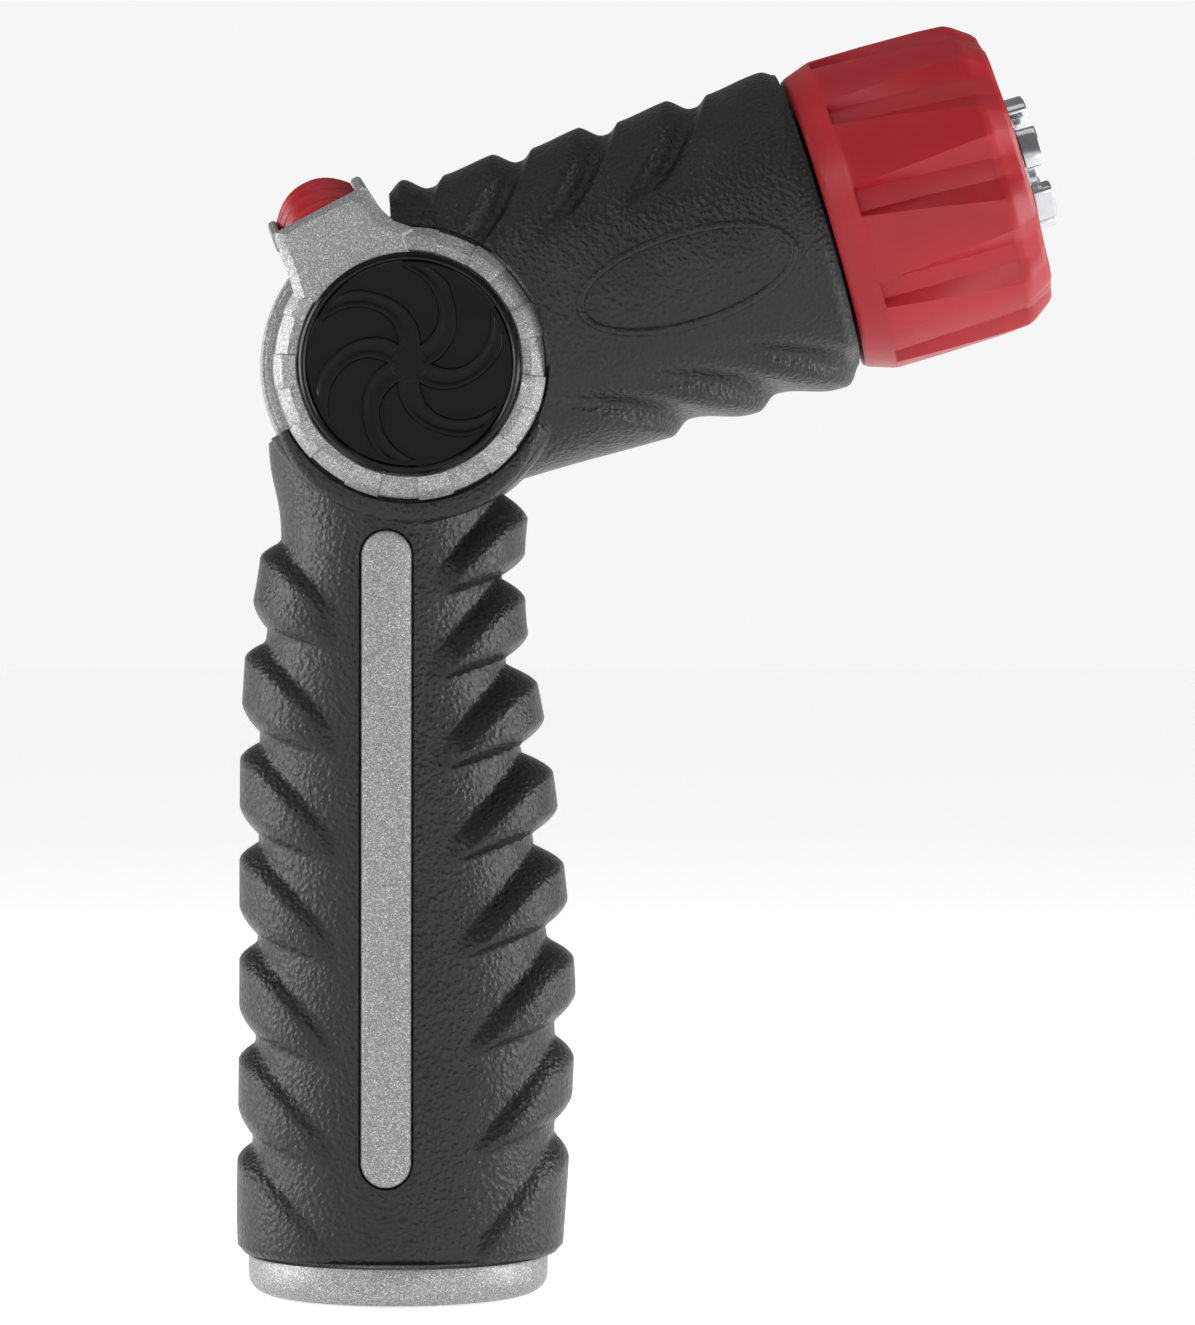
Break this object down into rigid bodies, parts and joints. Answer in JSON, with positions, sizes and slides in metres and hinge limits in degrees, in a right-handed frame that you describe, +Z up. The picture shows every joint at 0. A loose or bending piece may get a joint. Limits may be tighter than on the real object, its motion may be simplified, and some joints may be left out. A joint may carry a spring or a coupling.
{
  "type": "garden hose nozzle",
  "caption": "L-shaped hose nozzle with a ribbed rubber grip, a thumb lever that turns its valve, and a fluted twist bell round a fixed toothed spray deflector.",
  "frame": {"origin": "centre of the hose inlet's mouth, on the silver collar's lower face", "axes": "+Z up the handle, +X towards the side the barrel sprays to, +Y to the nozzle's left"},
  "size_m": [0.1108, 0.043, 0.1705],
  "materials": {
    "silver_paint": "metallic grey paint with coarse sparkle",
    "black_grip": "soft moulded rubber with a fine pebbled texture",
    "red_bell": "smooth satin red",
    "red_pad": "satin red soft plastic",
    "black_cap": "gloss black",
    "black_plastic": "moulded",
    "chrome": "bright plated",
    "brass": "machined",
    "steel": "stainless",
    "seal_rubber": "plain black",
    "white_plastic": "moulded acetal"
  },
  "bodies": {
    "nozzle_body": {"valve_body": "silver_paint", "grip_overmould": "black_grip", "trim_strip_right": "silver_paint", "trim_strip_left": "silver_paint", "inlet_collar": "silver_paint", "inlet_insert": "brass", "hose_washer": "seal_rubber", "inlet_oring": "seal_rubber", "bonnet_right": "brass", "bonnet_left": "brass", "stem_oring_right": "seal_rubber", "stem_oring_left": "seal_rubber", "outlet_seal": "white_plastic", "seal_spring": "steel", "seal_retainer": "brass", "outlet_tube": "brass", "tube_oring": "seal_rubber", "tube_nut": "brass", "spray_stem": "brass", "deflector_crown": "chrome", "crown_screw": "steel"},
    "thumb_lever": {"lever_right": "silver_paint", "lever_left": "silver_paint", "thumb_pad": "red_pad", "hub_cap_right": "black_cap", "hub_cap_left": "black_cap", "hub_screws": "steel", "hub_washers": "steel", "valve_rotor": "brass"},
    "bell_slider": {"detent_ring": "white_plastic"},
    "spray_bell": {"bell_core": "black_plastic", "bell_cover": "red_bell", "bell_oring": "seal_rubber", "cam_pins": "steel", "snap_ring": "steel"}
  },
  "joints": [
    {"name": "lever_turn", "type": "hinge", "parent": "nozzle_body", "child": "thumb_lever", "pos_m": [0.002, 0, 0.1245], "axis": [0, -1, 0], "range_deg": [0, 55]},
    {"name": "bell_slide", "type": "slide", "parent": "nozzle_body", "child": "bell_slider", "axis": [0.9588, 0, 0.284], "range_m": [0, 0.00534]},
    {"name": "bell_turn", "type": "hinge", "parent": "bell_slider", "child": "spray_bell", "pos_m": [0.00118, 0, 0.12728], "axis": [0.9588, 0, 0.284], "range_deg": [0, 240]}
  ],
  "couplings": [
    {"joint": "bell_slide", "follows": "bell_turn", "m_per_rad": 0.0012732}
  ]
}
